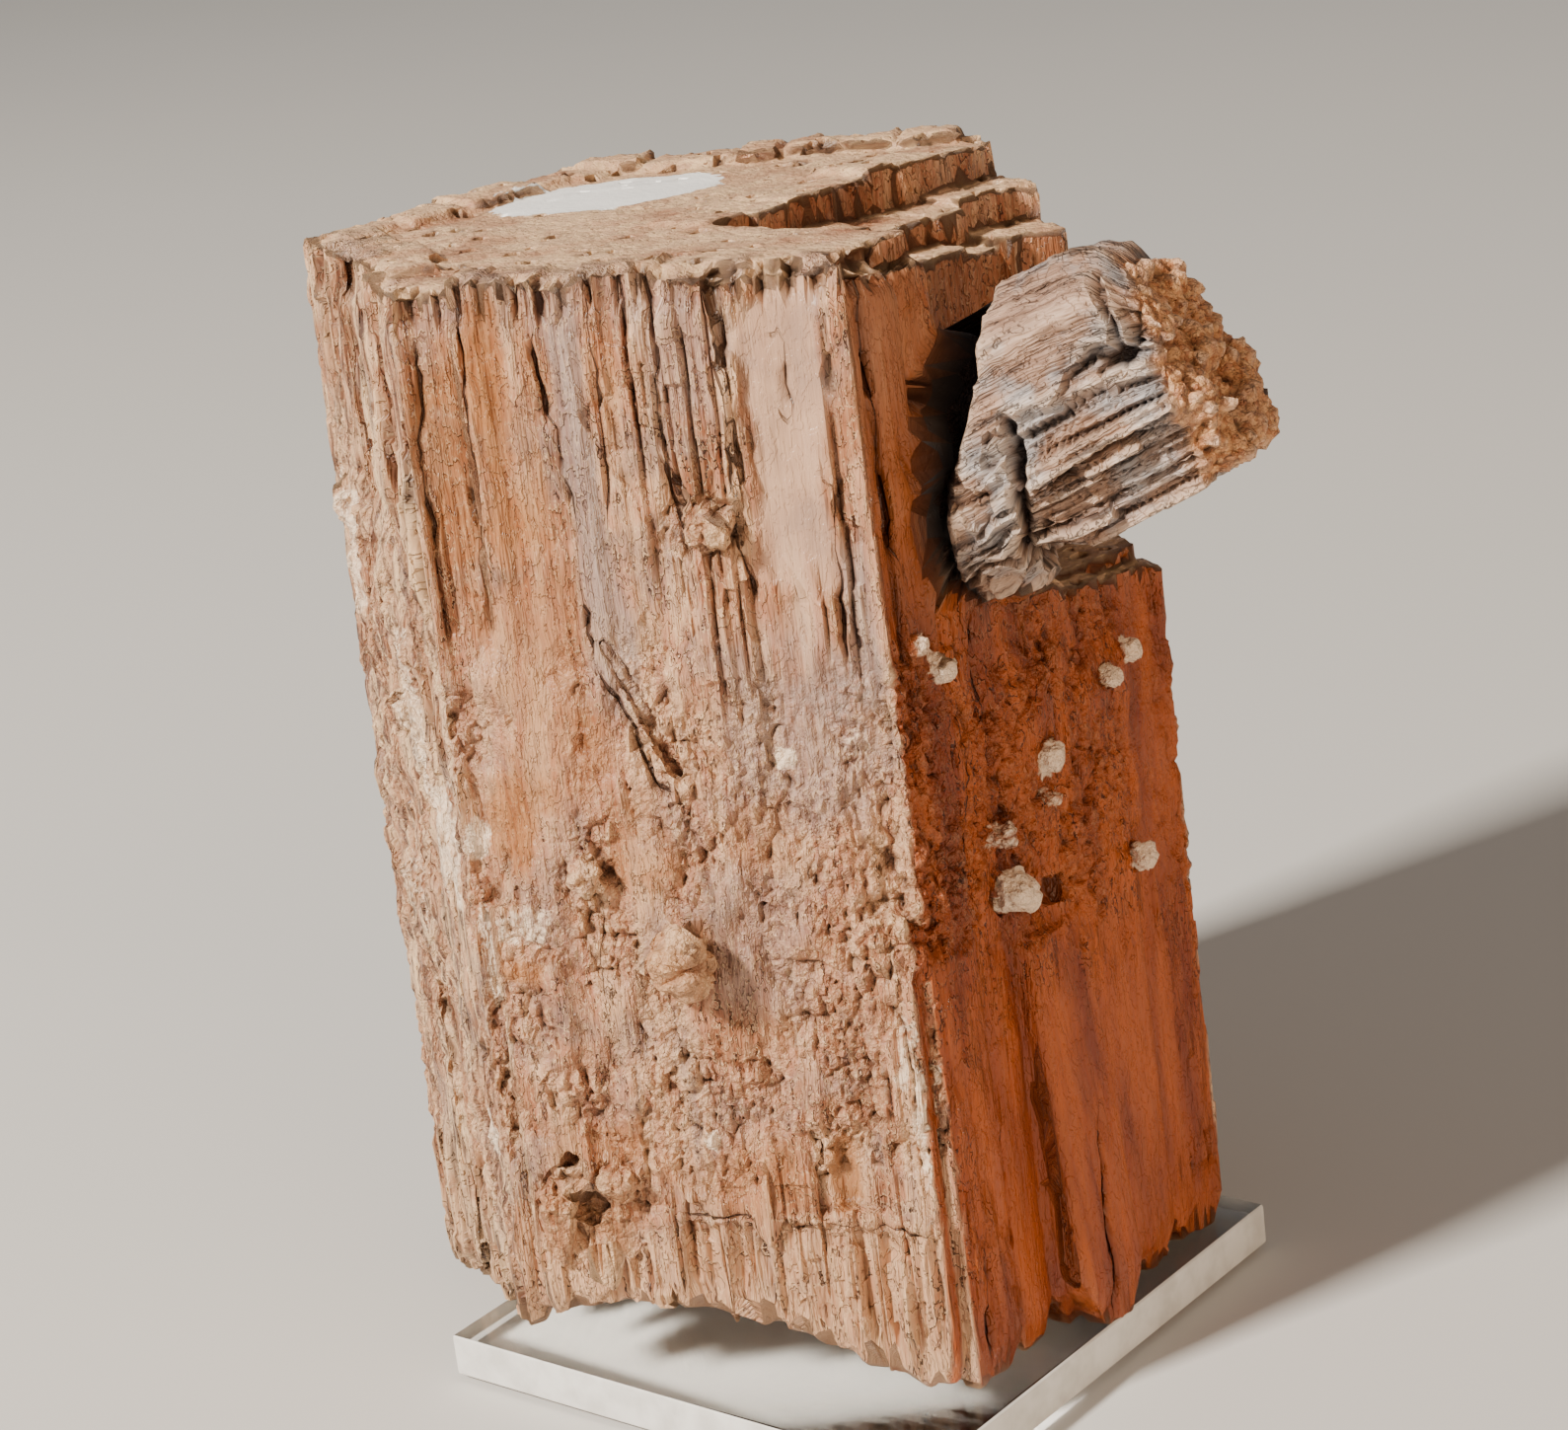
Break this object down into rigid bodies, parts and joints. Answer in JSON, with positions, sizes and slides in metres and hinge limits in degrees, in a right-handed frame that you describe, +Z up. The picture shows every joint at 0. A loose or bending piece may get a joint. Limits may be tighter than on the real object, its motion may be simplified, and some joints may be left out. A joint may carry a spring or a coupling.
{
  "type": "aragonite crystal specimen",
  "caption": "Twinned pseudo-hexagonal aragonite prism with a smaller crystal grown from its side, standing on a clear square display plate.",
  "frame": {"origin": "centre of the display plate's underside", "axes": "+Z up, +X and +Y along the plate's edges, -Y towards the viewer's left-hand plate edge"},
  "size_m": [0.0659, 0.0584, 0.0766],
  "materials": {
    "clear_acrylic": "clear acrylic, polished faces, frosted white sawn edges",
    "aragonite": "striated orange-brown crystal, silky to dull, cream crust in patches"
  },
  "bodies": {
    "root": {"display_plate": "clear_acrylic", "crystal": "aragonite"}
  },
  "joints": []
}
